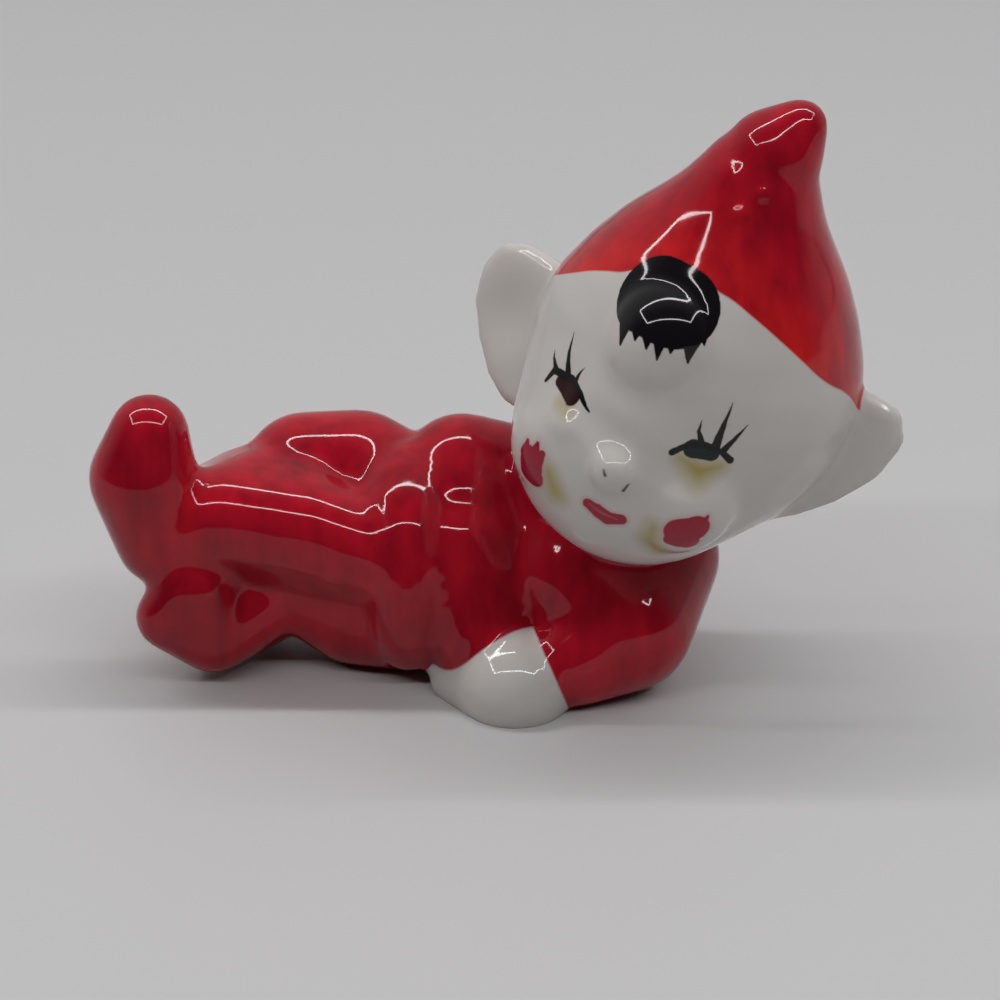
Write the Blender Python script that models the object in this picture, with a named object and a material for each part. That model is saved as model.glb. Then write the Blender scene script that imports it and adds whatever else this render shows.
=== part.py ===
"""Reclining pixie figurine: one slip-cast, glazed and hand-painted ornament.

Frame: +X to the pixie's head end, +Y away from the side it faces, +Z up,
origin on the table under the middle of the figurine. Lengths are in
millimetres here and turned to metres by MM.

The pixie lies on its left side, propped on its left elbow, with both hands
together on the table. Every form is a skin wrapped round a few balls, as a
modeller builds a clay master from pellets; the skins are then fused, smoothed
and cut flat where the piece stands.
"""
from math import radians, sin, cos, pi

import bmesh
import bpy
from mathutils import Matrix, Vector
from mathutils.bvhtree import BVHTree

MM = 0.001
WHITE, RED, BLACK = 0, 1, 2       # the glaze slots

# Clay: how the forms melt together
FUSE_GRAIN = 0.5          # size of the grains that fuse the forms
MELT_PASSES = 10          # smoothing passes over the fused skin
FACE_BUDGET = 9800        # triangles left in the finished solid

# Each form is a ball: the (x, y, z) of its middle, then its radius

# Hips and trunk
HIP = (-16.4, 9.9, 15.6)
HIP_R = 5.7
LOIN = (-11.6, 9.9, 15.6)
LOIN_R = 5.9
PELVIS = (-12.9, 8.1, 9.4)
PELVIS_R = 8.2
BELLY = (-11.4, 5.1, 5.6)
BELLY_R = 6.2
GROIN = (-7.6, 3.9, 5.4)
GROIN_R = 5.8
THIGH = (-16.8, 5.1, 8.6)
THIGH_R = 5.4
WAIST = (-7.6, 7.7, 12.2)
WAIST_R = 7.4
RIBS = (1.6, 8.1, 10.5)
RIBS_R = 8.0
CHEST = (8.2, 5.3, 9.4)
CHEST_R = 7.0
NAPE = (4.6, 8.1, 14.4)
NAPE_R = 5.8
UNDER_CHEST = (10.0, 7.6, 4.7)     # where the left side of the chest lies on the table
UNDER_CHEST_R = 5.2
NECK_R = 6.6

# Upper leg: a knee in front of the belly, and a thick shin back to the foot
KNEE = (-8.8, 0.7, 12.0)
KNEE_R = 4.2
SHIN = (-16.0, 1.5, 14.2)
SHIN_R = 4.6
ANKLE = (-23.0, 1.9, 15.3)
ANKLE_R = 4.5
ANKLE_UNDER = (-22.0, 4.5, 10.8)
ANKLE_UNDER_R = 4.2
CALF = (-21.8, 8.5, 14.4)
CALF_R = 4.2

# A roll of clay beside the knee: balls along an arc in a plane across the body
HEM_X = -7.0
HEM_MIDDLE = (6.1, 9.35)  # y and z of the middle of the arc
HEM_REACH = 11.0          # how far the outside of the roll lies from that middle
HEM_BALLS = 9
HEM_HIGHEST = 88.0        # where its highest and lowest balls lie, in degrees
HEM_LOWEST = -40.0
HEM_TOP_R = 4.7
HEM_FOOT_R = 3.0

# Upper foot: it stands on end, toe up, its sole facing away from the body
HEEL_UP = (-28.6, 2.1, 13.0)
HEEL_UP_R = 4.2
SOLE_UP = (-30.0, 2.1, 18.8)
SOLE_UP_R = 4.8
TOE_UP = (-29.3, 2.3, 23.0)
TOE_UP_R = 3.5

# Lower leg and foot, on the table
LEG_LOW = (-20.0, 7.1, 4.6)
LEG_LOW_R = 4.2
TOE_LOW = (-26.0, -0.5, 9.4)
TOE_LOW_R = 3.1
SOLE_LOW = (-28.1, -0.5, 6.6)
SOLE_LOW_R = 3.0
HEEL_LOW = (-24.4, 0.9, 4.2)
HEEL_LOW_R = 3.6

# Right arm, the upper one, down to the hands
SHOULDER_UP = (-2.3, 7.6, 16.6)
SHOULDER_UP_R = 5.6
SHOULDER_FRONT = (-2.3, 5.4, 14.6)
SHOULDER_FRONT_R = 5.8
ARM_MIDDLE = (-2.4, 4.6, 12.0)
ARM_MIDDLE_R = 4.5
ELBOW_UP = (-2.4, 2.0, 12.6)
ELBOW_UP_R = 4.8
CUFF_UP = (-0.8, -0.9, 5.4)
CUFF_UP_R = 4.6

# Left arm, the one it leans on
SHOULDER_LOW = (15.1, 5.1, 9.8)
SHOULDER_LOW_R = 5.7
CHEST_FRONT = (8.5, 2.6, 9.6)
CHEST_FRONT_R = 7.2
ELBOW_LOW = (11.9, -0.6, 6.2)
ELBOW_LOW_R = 6.4
CUFF_LOW = (7.7, -3.3, 3.9)
CUFF_LOW_R = 4.3

# Both hands together, one soft mound
HANDS = (2.4, -4.3, 1.8)
HANDS_R = 5.0
FINGERS = (-2.8, -1.7, 1.0)
FINGERS_R = 2.4

# Head: every place from here on is in its own frame (x right, y back, z up)
HEAD = (17.5, 0.1, 29.8)
HEAD_TURN = -18.0
HEAD_NOD = -17.5
HEAD_TILT = 17.0
SKULL_R = 14.3
JAW = (-1.0, -4.0, -5.8)
JAW_R = 11.3
NOSE = (-0.1, -14.5, -7.4)
NOSE_R = 2.4
CHEEK = (4.9, -8.8, -8.2)
CHEEK_R = 5.2
CHEEKS_MIDDLE = -0.5
CURL = (-0.7, -11.2, 4.0)
CURL_R = 5.0

# Pointed hat, turned about its own axis, which leans in the figurine's frame:
# how far it stands out from the skull, the heights and radii of its flank, and
# its rounded tip
HAT_LEAN = 15.0           # degrees that the hat leans to +X
HAT_NOD = 8.0             # and forward
HAT_FLANK = ((0.0, 14.2), (2.0, 14.3), (5.0, 13.6), (7.0, 12.7), (8.5, 12.0), (10.0, 11.1),
             (11.5, 10.2), (13.0, 9.1), (14.0, 8.3), (15.5, 7.2), (17.0, 6.2), (19.0, 5.2),
             (20.5, 4.6))
HAT_TIP = 22.0
HAT_TIP_R = 3.9
BRIM_HEIGHT = 0.9         # the paint line of the hat level with the ears
BRIM_RISE = 0.64          # how much higher it is for each millimetre forward
BRIM_SLANT = 0.07         # and for each millimetre towards the near ear

# Ears: thin dished leaves that stand off the sides of the head
EAR_REACH_FAR = 21.4      # from the middle of the skull to the tip of the ear
EAR_REACH_NEAR = 18.5
EAR_WIDE = 8.6            # from the tip back to the root, inside the head
EAR_HIGH = 3.9            # top and bottom of the ear
EAR_LOW = -9.4
EAR_THICK = 2.0
EAR_DISH = 1.0            # how deep its front is hollowed
EAR_SWEEP = 3.0           # how far the tip lies behind the root

# Paint
BRUSH_TEETH = 0.5         # height of the ragged brush edge under the hair
BRUSH_PITCH = 1.1         # distance from tooth to tooth


def ball_points(centre, radius):
    """Return points spread over a ball, in millimetres."""
    shell = bmesh.new()
    bmesh.ops.create_icosphere(shell, subdivisions=3, radius=radius)
    points = [Vector(centre) + v.co for v in shell.verts]
    shell.free()
    return points


def wrap(clay, *balls):
    """Stretch one closed skin round several (centre, radius) balls."""
    skin = bmesh.new()
    for centre, radius in balls:
        for point in ball_points(centre, radius):
            skin.verts.new(point)
    bmesh.ops.convex_hull(skin, input=skin.verts)
    inside = [v for v in skin.verts if not v.link_faces]
    bmesh.ops.delete(skin, geom=inside, context="VERTS")
    bmesh.ops.recalc_face_normals(skin, faces=skin.faces)
    piece = bpy.data.meshes.new("skin")
    skin.to_mesh(piece)
    skin.free()
    clay.from_mesh(piece)
    bpy.data.meshes.remove(piece)


def limb(clay, *balls):
    """Join a row of balls into one limb, two at a time."""
    for first, second in zip(balls, balls[1:]):
        wrap(clay, first, second)


def head_matrix():
    """Return the matrix from the head's own frame to the figurine's."""
    turn = Matrix.Rotation(radians(HEAD_TURN), 4, "Z")
    nod = Matrix.Rotation(radians(HEAD_NOD), 4, "X")
    tilt = Matrix.Rotation(radians(HEAD_TILT), 4, "Y")
    return Matrix.Translation(HEAD) @ turn @ nod @ tilt


def on_head(x, y, z):
    """Return a point of the head's frame in the figurine's frame."""
    return head_matrix() @ Vector((x, y, z))


def model_body(clay):
    """Add the trunk, both legs and both arms."""
    hips = [(HIP, HIP_R), (LOIN, LOIN_R), (PELVIS, PELVIS_R)]
    wrap(clay, *hips)
    wrap(clay, (PELVIS, PELVIS_R), (BELLY, BELLY_R), (GROIN, GROIN_R), (THIGH, THIGH_R))
    wrap(clay, (LOIN, LOIN_R), (WAIST, WAIST_R), (PELVIS, PELVIS_R))
    wrap(clay, (WAIST, WAIST_R), (GROIN, GROIN_R), (RIBS, WAIST_R))
    wrap(clay, (RIBS, RIBS_R), (NAPE, NAPE_R), (CHEST, CHEST_R), (UNDER_CHEST, UNDER_CHEST_R))
    wrap(clay, (NAPE, NAPE_R), (on_head(0, 0, -SKULL_R / 2), NECK_R), (CHEST, NAPE_R))
    model_upper_leg(clay)
    model_hem(clay)
    model_lower_leg(clay)
    model_arms(clay)


def model_upper_leg(clay):
    """Add the leg that lies on top, and its foot."""
    wrap(clay, (SHIN, SHIN_R), (ANKLE, ANKLE_R), (CALF, CALF_R),
         (ANKLE_UNDER, ANKLE_UNDER_R), (THIGH, ANKLE_UNDER_R), (HIP, CALF_R))
    wrap(clay, (KNEE, KNEE_R), (SHIN, SHIN_R), (WAIST, KNEE_R), (BELLY, KNEE_R))
    wrap(clay, (ANKLE, ANKLE_R), (CALF, CALF_R), (HEEL_UP, HEEL_UP_R))
    limb(clay, (HEEL_UP, HEEL_UP_R), (SOLE_UP, SOLE_UP_R), (TOE_UP, TOE_UP_R))


def model_hem(clay):
    """Add the roll of clay beside the knee, thickest at its top."""
    balls = []
    for k in range(HEM_BALLS):
        share = k / (HEM_BALLS - 1)
        turn = radians(HEM_HIGHEST + share * (HEM_LOWEST - HEM_HIGHEST))
        radius = HEM_TOP_R + share * (HEM_FOOT_R - HEM_TOP_R)
        away = HEM_REACH - radius
        y, z = HEM_MIDDLE
        balls.append(((HEM_X, y - away * cos(turn), z + away * sin(turn)), radius))
    wrap(clay, *balls)


def model_lower_leg(clay):
    """Add the leg underneath, and its foot."""
    wrap(clay, (THIGH, LEG_LOW_R), (LEG_LOW, LEG_LOW_R), (HEEL_LOW, HEEL_LOW_R))
    wrap(clay, (TOE_LOW, TOE_LOW_R), (SOLE_LOW, SOLE_LOW_R), (HEEL_LOW, HEEL_LOW_R))
    wrap(clay, (TOE_LOW, TOE_LOW_R), (LEG_LOW, LEG_LOW_R), (HEEL_LOW, HEEL_LOW_R),
         (ANKLE_UNDER, TOE_LOW_R))


def model_arms(clay):
    """Add both arms."""
    wrap(clay, (SHOULDER_UP, SHOULDER_UP_R), (SHOULDER_FRONT, SHOULDER_FRONT_R))
    limb(clay, (ARM_MIDDLE, ARM_MIDDLE_R), (ELBOW_UP, ELBOW_UP_R), (CUFF_UP, CUFF_UP_R))
    wrap(clay, (RIBS, SHOULDER_UP_R), (SHOULDER_UP, SHOULDER_UP_R), (NAPE, NAPE_R))
    wrap(clay, (RIBS, RIBS_R), (ELBOW_UP, ELBOW_UP_R), (CUFF_UP, CUFF_UP_R))
    wrap(clay, (WAIST, ELBOW_UP_R), (ELBOW_UP, ELBOW_UP_R), (GROIN, CUFF_UP_R))
    wrap(clay, (NAPE, NAPE_R), (CHEST, CHEST_R), (SHOULDER_LOW, SHOULDER_LOW_R),
         (ELBOW_LOW, ELBOW_LOW_R), (CHEST_FRONT, CHEST_FRONT_R))
    wrap(clay, (ELBOW_LOW, ELBOW_LOW_R), (CUFF_LOW, CUFF_LOW_R))


def model_hands(clay):
    """Add the two hands, which meet in one mound on the table."""
    wrap(clay, (HANDS, HANDS_R), (FINGERS, FINGERS_R))


def turn(clay, profile, place, spokes=48):
    """Turn a profile of (height, radius) steps into a closed shape, and place it."""
    shape = bmesh.new()
    rings = []
    for height, radius in profile:
        ring = [shape.verts.new((radius * cos(2 * pi * k / spokes),
                                 radius * sin(2 * pi * k / spokes), height))
                for k in range(spokes)]
        rings.append(ring)
    for low, high in zip(rings, rings[1:]):
        for k in range(spokes):
            after = (k + 1) % spokes
            shape.faces.new((low[k], low[after], high[after], high[k]))
    shape.faces.new(reversed(rings[0]))
    shape.faces.new(rings[-1])
    bmesh.ops.transform(shape, matrix=place, verts=shape.verts)
    piece = bpy.data.meshes.new("turned")
    shape.to_mesh(piece)
    shape.free()
    clay.from_mesh(piece)
    bpy.data.meshes.remove(piece)


def hat_matrix():
    """Return the matrix from the hat's own axis to the figurine's frame."""
    nod = Matrix.Rotation(radians(HAT_NOD), 4, "X")
    lean = Matrix.Rotation(radians(HAT_LEAN), 4, "Y")
    return Matrix.Translation(HEAD) @ nod @ lean


def model_head(clay):
    """Add the skull, the jaw, the nose, the cheeks and the pointed hat."""
    wrap(clay, (on_head(0, 0, 0), SKULL_R), (on_head(*JAW), JAW_R))
    wrap(clay, (on_head(*NOSE), NOSE_R))
    for side in (-1, 1):
        place = on_head(CHEEKS_MIDDLE + side * CHEEK[0], CHEEK[1], CHEEK[2])
        wrap(clay, (place, CHEEK_R))
    turn(clay, HAT_FLANK + ((HAT_TIP, HAT_TIP_R),), hat_matrix())
    wrap(clay, (hat_matrix() @ Vector((0, 0, HAT_TIP)), HAT_TIP_R))


def ear_outline(reach):
    """Return the ear's outline as (distance from the skull's middle, height)."""
    root = reach - EAR_WIDE
    tall = EAR_HIGH - EAR_LOW
    return (
        (root, EAR_HIGH - 0.05 * tall),
        (reach - 0.36 * EAR_WIDE, EAR_HIGH),
        (reach - 0.12 * EAR_WIDE, EAR_HIGH - 0.05 * tall),
        (reach, EAR_HIGH - 0.20 * tall),
        (reach - 0.06 * EAR_WIDE, EAR_HIGH - 0.40 * tall),
        (reach - 0.24 * EAR_WIDE, EAR_HIGH - 0.60 * tall),
        (reach - 0.52 * EAR_WIDE, EAR_HIGH - 0.82 * tall),
        (reach - 0.80 * EAR_WIDE, EAR_LOW),
        (root, EAR_LOW),
    )


def model_ear(clay, side, reach):
    """Add one ear: rings from the middle of its front, over the rim, to its back."""
    outline = ear_outline(reach)
    root = reach - EAR_WIDE
    middle_x = sum(x for x, z in outline) / len(outline)
    middle_z = sum(z for x, z in outline) / len(outline)
    half = EAR_THICK / 2
    rings = ((0.35, EAR_DISH - half), (0.75, 0.6 * EAR_DISH - half), (1.0, -half),
             (1.0, half), (0.75, half + 0.3 * EAR_DISH), (0.35, half + 0.5 * EAR_DISH))
    leaf = bmesh.new()
    loops = []
    for share, depth in rings:
        loop = []
        for x, z in outline:
            across = middle_x + share * (x - middle_x)
            back = depth + EAR_SWEEP * (across - root) / EAR_WIDE
            up = middle_z + share * (z - middle_z)
            loop.append(leaf.verts.new(on_head(side * across, back, up)))
        loops.append(loop)
    count = len(outline)
    for first, second in zip(loops, loops[1:]):
        for k in range(count):
            after = (k + 1) % count
            leaf.faces.new((first[k], first[after], second[after], second[k]))
    leaf.faces.new(loops[0])
    leaf.faces.new(loops[-1])
    bmesh.ops.recalc_face_normals(leaf, faces=leaf.faces)
    piece = bpy.data.meshes.new("leaf")
    leaf.to_mesh(piece)
    leaf.free()
    clay.from_mesh(piece)
    bpy.data.meshes.remove(piece)


def model_curl(clay):
    """Add the curl of hair on the forehead."""
    wrap(clay, (on_head(*CURL), CURL_R))


def modified(thing):
    """Return a new mesh with all of an object's modifiers worked in."""
    graph = bpy.context.evaluated_depsgraph_get()
    graph.update()
    return bpy.data.meshes.new_from_object(thing.evaluated_get(graph))


def fuse(forms):
    """Fuse the overlapping skins into one smooth closed mesh."""
    clay = bmesh.new()
    for form in forms.values():
        piece = bpy.data.meshes.new("form")
        form.to_mesh(piece)
        clay.from_mesh(piece)
        bpy.data.meshes.remove(piece)
    bmesh.ops.scale(clay, vec=(MM, MM, MM), verts=clay.verts)
    mesh = bpy.data.meshes.new("elf_figurine")
    clay.to_mesh(mesh)
    clay.free()
    figurine = bpy.data.objects.new("elf_figurine", mesh)
    bpy.context.scene.collection.objects.link(figurine)

    grains = figurine.modifiers.new("fuse", "REMESH")
    grains.mode = "VOXEL"
    grains.voxel_size = FUSE_GRAIN * MM
    grains.use_smooth_shade = True
    melt = figurine.modifiers.new("melt", "SMOOTH")
    melt.factor = 0.5
    melt.iterations = MELT_PASSES

    fused = modified(figurine)
    figurine.modifiers.clear()
    faces_now = sum(len(face.vertices) - 2 for face in fused.polygons)
    figurine.data = fused
    thin = figurine.modifiers.new("thin", "DECIMATE")
    thin.ratio = min(1.0, FACE_BUDGET / faces_now)
    figurine.data = modified(figurine)
    figurine.modifiers.clear()
    return figurine


def cut_flat(figurine):
    """Slice off what lies below the table, and close the slice."""
    body = bmesh.new()
    body.from_mesh(figurine.data)
    everything = body.verts[:] + body.edges[:] + body.faces[:]
    cut = bmesh.ops.bisect_plane(body, geom=everything, dist=1e-7,
                                 plane_co=(0, 0, 0), plane_no=(0, 0, 1),
                                 clear_inner=True)
    rim = [item for item in cut["geom_cut"] if isinstance(item, bmesh.types.BMEdge)]
    bmesh.ops.holes_fill(body, edges=rim, sides=0)
    bmesh.ops.triangulate(body, faces=body.faces[:])
    bmesh.ops.recalc_face_normals(body, faces=body.faces[:])
    body.to_mesh(figurine.data)
    body.free()


def centre(figurine):
    """Put the middle of the figurine's box over the origin."""
    mesh = figurine.data
    for axis in (0, 1):
        places = [v.co[axis] for v in mesh.vertices]
        middle = (min(places) + max(places)) / 2
        for v in mesh.vertices:
            v.co[axis] -= middle
        print("moved along", "XY"[axis], round(-middle / MM, 3))


def glaze(name, colour, roughness):
    """Return a glossy glaze of one colour."""
    material = bpy.data.materials.new(name)
    material.use_nodes = True
    shader = material.node_tree.nodes["Principled BSDF"]
    shader.inputs["Base Color"].default_value = (*colour, 1.0)
    shader.inputs["Roughness"].default_value = roughness
    material.diffuse_color = (*colour, 1.0)
    return material


def colour_of(form, spot):
    """Return the colour that a form has at one spot: white, red or black."""
    if form == "body":
        return RED
    if form in ("hands", "ears"):
        return WHITE
    local = head_matrix().inverted() @ spot
    brim = BRIM_HEIGHT - BRIM_RISE * local.y + BRIM_SLANT * local.x
    if form == "head":
        return RED if local.z > brim else WHITE
    tooth = BRUSH_TEETH * sin(2 * pi * local.x / BRUSH_PITCH)
    return BLACK if local.z > CURL[2] - CURL_R / 2 + tooth else WHITE


def paint(figurine, forms):
    """Give each face the colour of the form that it lies on."""
    mesh = figurine.data
    mesh.materials.clear()
    mesh.materials.append(glaze("white_glaze", (0.80, 0.80, 0.79), 0.08))
    mesh.materials.append(glaze("red_glaze", (0.47, 0.010, 0.022), 0.08))
    mesh.materials.append(glaze("black_enamel", (0.012, 0.012, 0.014), 0.10))
    skins = {name: BVHTree.FromBMesh(form) for name, form in forms.items()}
    for face in mesh.polygons:
        spot = face.center / MM
        nearest = min(skins, key=lambda name: skins[name].find_nearest(spot)[3])
        face.material_index = colour_of(nearest, spot)


def main():
    """Model the figurine."""
    for thing in list(bpy.data.objects):
        bpy.data.objects.remove(thing, do_unlink=True)
    forms = {name: bmesh.new() for name in ("body", "hands", "head", "ears", "curl")}
    model_body(forms["body"])
    model_hands(forms["hands"])
    model_head(forms["head"])
    model_ear(forms["ears"], -1, EAR_REACH_FAR)
    model_ear(forms["ears"], 1, EAR_REACH_NEAR)
    model_curl(forms["curl"])
    figurine = fuse(forms)
    cut_flat(figurine)
    paint(figurine, forms)
    centre(figurine)
    figurine.data.shade_smooth()
    print("triangles", len(figurine.data.polygons))


main()
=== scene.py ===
# %% [markdown]
# # A reclining pixie in glazed and painted china
# Figurines of this kind are hollow castings: liquid clay is poured in a plaster
# mould, and the casting is fired, glazed and painted. This one is taken to be
# about 70 mm long. It has no parts that come off, so here it is one piece too.
#
# The lesson loads the plain model, shapes a finer one in its place, and then
# spends its effort on what the eye sees: wet-looking glaze and brush marks.

# %% Load the plain model
from math import cos, pi, radians, sin

import bpy
from mathutils import Matrix, Vector
from mathutils.bvhtree import BVHTree


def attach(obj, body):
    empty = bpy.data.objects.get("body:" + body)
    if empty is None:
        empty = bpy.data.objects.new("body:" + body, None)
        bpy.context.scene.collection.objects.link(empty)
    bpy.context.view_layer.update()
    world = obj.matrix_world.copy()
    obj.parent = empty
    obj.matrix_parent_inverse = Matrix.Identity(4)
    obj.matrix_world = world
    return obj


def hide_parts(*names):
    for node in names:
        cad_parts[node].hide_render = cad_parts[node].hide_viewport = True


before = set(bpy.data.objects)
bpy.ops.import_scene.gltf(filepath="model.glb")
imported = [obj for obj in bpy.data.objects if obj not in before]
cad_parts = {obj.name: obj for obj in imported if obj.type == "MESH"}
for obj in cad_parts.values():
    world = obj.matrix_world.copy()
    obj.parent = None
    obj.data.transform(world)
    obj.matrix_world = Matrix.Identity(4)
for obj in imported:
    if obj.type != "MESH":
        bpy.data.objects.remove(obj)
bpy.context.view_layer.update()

print("plain model:", sorted(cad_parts))

# %% [markdown]
# ## Working in millimetres
# Blender works in metres, and a figurine is measured in millimetres. Every
# size below is written in millimetres and turned to metres in one place.

# %% Units
MM = 0.001


def metres(place):
    """Return a place that is given in millimetres, in metres."""
    return Vector(place) * MM


# %% [markdown]
# ## Camera
# The photograph looks down at the table by 25 degrees, with a long lens. The
# lens is so long that the figurine shows almost without perspective.

# %% Camera
LOOK_DOWN = 25.0               # degrees below the horizon
LOOK_AT = (0.88, 2.29, 16.7)   # what the middle of the picture shows
CAMERA_AWAY = 260.0
NEAREST_SEEN = 10.0            # nothing nearer to the lens is drawn
PICTURE_WIDTH = 87.5           # how much of the object's plane the picture spans
SENSOR = 36.0

sight = Vector((0, cos(radians(LOOK_DOWN)), -sin(radians(LOOK_DOWN))))
bpy.ops.object.camera_add(
    location=metres(Vector(LOOK_AT) - CAMERA_AWAY * sight),
    rotation=(radians(90 - LOOK_DOWN), 0, 0))
camera = bpy.context.object
camera.name = "photo_camera"
camera.data.sensor_width = SENSOR
camera.data.lens = SENSOR * CAMERA_AWAY / PICTURE_WIDTH
camera.data.clip_start = NEAREST_SEEN * MM
bpy.context.scene.camera = camera
bpy.context.scene.view_settings.view_transform = "Standard"
print("lens:", round(camera.data.lens, 2), "mm")

# %% [markdown]
# ## Nodes and colours
# A material is a small network of nodes. Each node is added by the same short
# function, which sets what the node does and fills or links its inputs.
# Colours are written as on the web, and one function makes them linear.

# %% Helpers for materials
SHARE, FIRST, SECOND, MIXED = 0, 6, 7, 2   # sockets of a Mix node that mixes colours


def linear(code):
    """Return a web colour such as #c0ffee as a linear colour with its alpha."""
    channels = [int(code[k:k + 2], 16) / 255 for k in (1, 3, 5)]
    return (*[c / 12.92 if c <= 0.04045 else ((c + 0.055) / 1.055) ** 2.4
              for c in channels], 1.0)


def add_node(tree, kind, inputs=None, **settings):
    """Add a node, set what it does, and fill or link its inputs."""
    node = tree.nodes.new(kind)
    for name, value in settings.items():
        setattr(node, name, value)
    for name, value in (inputs or {}).items():
        if isinstance(value, bpy.types.NodeSocket):
            tree.links.new(value, node.inputs[name])
        else:
            node.inputs[name].default_value = value
    return node


def empty_tree(owner):
    """Give a material or a world an empty node tree, and return the tree."""
    owner.use_nodes = True
    owner.node_tree.nodes.clear()
    return owner.node_tree


# %% [markdown]
# ## Table
# The figurine stands on a smooth pale table. A wide plane stands for it, so
# that no edge of it shows from any side.

# %% Table
TABLE_REACH = 4000.0
TABLE_GREY = "#bdbcbd"
TABLE_ROUGHNESS = 0.5          # satin paint on board: a soft sheen and no reflections
PAINT_INDEX = 1.5

bpy.ops.object.select_all(action="DESELECT")
bpy.ops.mesh.primitive_plane_add(size=TABLE_REACH * MM)
table = bpy.context.object
table.name = "table"
painted_board = bpy.data.materials.new("painted_board")
tree = empty_tree(painted_board)
shader = add_node(tree, "ShaderNodeBsdfPrincipled", {
    "Base Color": linear(TABLE_GREY), "Roughness": TABLE_ROUGHNESS,
    "IOR": PAINT_INDEX})
add_node(tree, "ShaderNodeOutputMaterial", {"Surface": shader.outputs["BSDF"]})
table.data.materials.append(painted_board)
print("table:", TABLE_REACH, "mm wide")

# %% [markdown]
# ## Light
# The thin bright lines on the glaze look like the reflection of a rectangle of
# lamp tubes overhead. Four long area lamps make that rectangle. The rest of the
# room is the world: pale behind the figurine, and dark on the viewer's side,
# which gives the glaze its dark reflections.

# %% Lamps and world
LAMP_HEIGHT = 800.0
LAMP_FRONT = -520.0            # the side nearer to the viewer
LAMP_BACK = 140.0
LAMP_SIDE = 800.0
TUBE_WIDTH = 45.0
TUBE_RADIANCE = 20.0
ROOM_BEHIND = "#a4a4a4"
ROOM_IN_FRONT = "#232323"
ROOM_BLEND = 0.35              # how gradually the one turns into the other


def lamp_tube(name, middle, length, width):
    """Add one long thin lamp that shines straight down."""
    bpy.ops.object.light_add(type="AREA", location=metres(middle))
    tube = bpy.context.object
    tube.name = name
    tube.data.shape = "RECTANGLE"
    tube.data.size = length * MM
    tube.data.size_y = width * MM
    tube.data.energy = TUBE_RADIANCE * pi * length * width * MM * MM


lamp_depth = LAMP_BACK - LAMP_FRONT
lamp_middle = (LAMP_BACK + LAMP_FRONT) / 2
lamp_tube("tube_front", (0, LAMP_FRONT, LAMP_HEIGHT), 2 * LAMP_SIDE, TUBE_WIDTH)
lamp_tube("tube_back", (0, LAMP_BACK, LAMP_HEIGHT), 2 * LAMP_SIDE, TUBE_WIDTH)
lamp_tube("tube_left", (-LAMP_SIDE, lamp_middle, LAMP_HEIGHT), TUBE_WIDTH, lamp_depth)
lamp_tube("tube_right", (LAMP_SIDE, lamp_middle, LAMP_HEIGHT), TUBE_WIDTH, lamp_depth)

room = bpy.data.worlds.new("room")
bpy.context.scene.world = room
tree = empty_tree(room)
direction = add_node(tree, "ShaderNodeTexCoord")
parts = add_node(tree, "ShaderNodeSeparateXYZ", {"Vector": direction.outputs["Generated"]})
behind = add_node(tree, "ShaderNodeMapRange", {
    "Value": parts.outputs["Y"], "From Min": -ROOM_BLEND, "From Max": ROOM_BLEND},
    interpolation_type="SMOOTHSTEP")
walls = add_node(tree, "ShaderNodeMix", {
    SHARE: behind.outputs["Result"], FIRST: linear(ROOM_IN_FRONT),
    SECOND: linear(ROOM_BEHIND)}, data_type="RGBA")
glow = add_node(tree, "ShaderNodeBackground", {
    "Color": walls.outputs[MIXED], "Strength": 1.0})
add_node(tree, "ShaderNodeOutputWorld", {"Surface": glow.outputs["Background"]})
print("lamps: 4 tubes of radiance", TUBE_RADIANCE)

# %% [markdown]
# ## Clay
# A modeller can build a clay master from pellets and strips, press them
# together and wipe the joints smooth. Here a pellet is a ball, and a strip is
# a skin stretched over two or more balls, which Blender's convex hull makes.
# Each ball is written as x, y, z of its middle and its radius.

# %% Pellets and strips of clay
BALL_SPLITS = 4                # how often the faces of a ball are split to make it round


def sized(ball, radius):
    """Return a ball at the same place with another radius."""
    return (*ball[:3], radius)


def wrap(*balls):
    """Stretch one closed skin over several balls, and return its object."""
    bpy.ops.object.select_all(action="DESELECT")
    x, y, z, radius = balls[0]
    bpy.ops.mesh.primitive_ico_sphere_add(
        subdivisions=BALL_SPLITS, radius=radius * MM, location=metres((x, y, z)))
    skin = bpy.context.object
    bpy.ops.object.mode_set(mode="EDIT")
    for x, y, z, radius in balls[1:]:
        bpy.ops.mesh.primitive_ico_sphere_add(
            subdivisions=BALL_SPLITS, radius=radius * MM, location=metres((x, y, z)))
    bpy.ops.mesh.select_all(action="SELECT")
    bpy.ops.mesh.convex_hull(use_existing_faces=False, join_triangles=False)
    bpy.ops.object.mode_set(mode="OBJECT")
    bpy.ops.object.transform_apply(location=True, rotation=True, scale=True)
    return skin


def limb(*balls):
    """Return the skins over a row of balls, taken two at a time."""
    return [wrap(first, second) for first, second in zip(balls, balls[1:])]


# %% [markdown]
# ## Trunk
# The pixie lies on its left side. The hips are the highest part of the body,
# and the trunk runs from them to the chest under the chin.

# %% Trunk
HIP = (-16.4, 9.9, 15.6, 5.7)
LOIN = (-11.6, 9.9, 15.6, 5.9)
PELVIS = (-12.9, 8.1, 9.4, 8.2)
BELLY = (-11.4, 5.1, 5.6, 6.2)
GROIN = (-7.6, 3.9, 5.4, 5.8)
THIGH = (-16.8, 5.1, 8.6, 5.4)
WAIST = (-7.6, 7.7, 12.2, 7.4)
RIBS = (1.6, 8.1, 10.5, 8.0)
CHEST = (8.2, 5.3, 9.4, 7.0)
NAPE = (4.6, 8.1, 14.4, 5.8)
UNDER_CHEST = (10.0, 7.6, 4.7, 5.2)   # where the left side lies on the table

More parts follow.
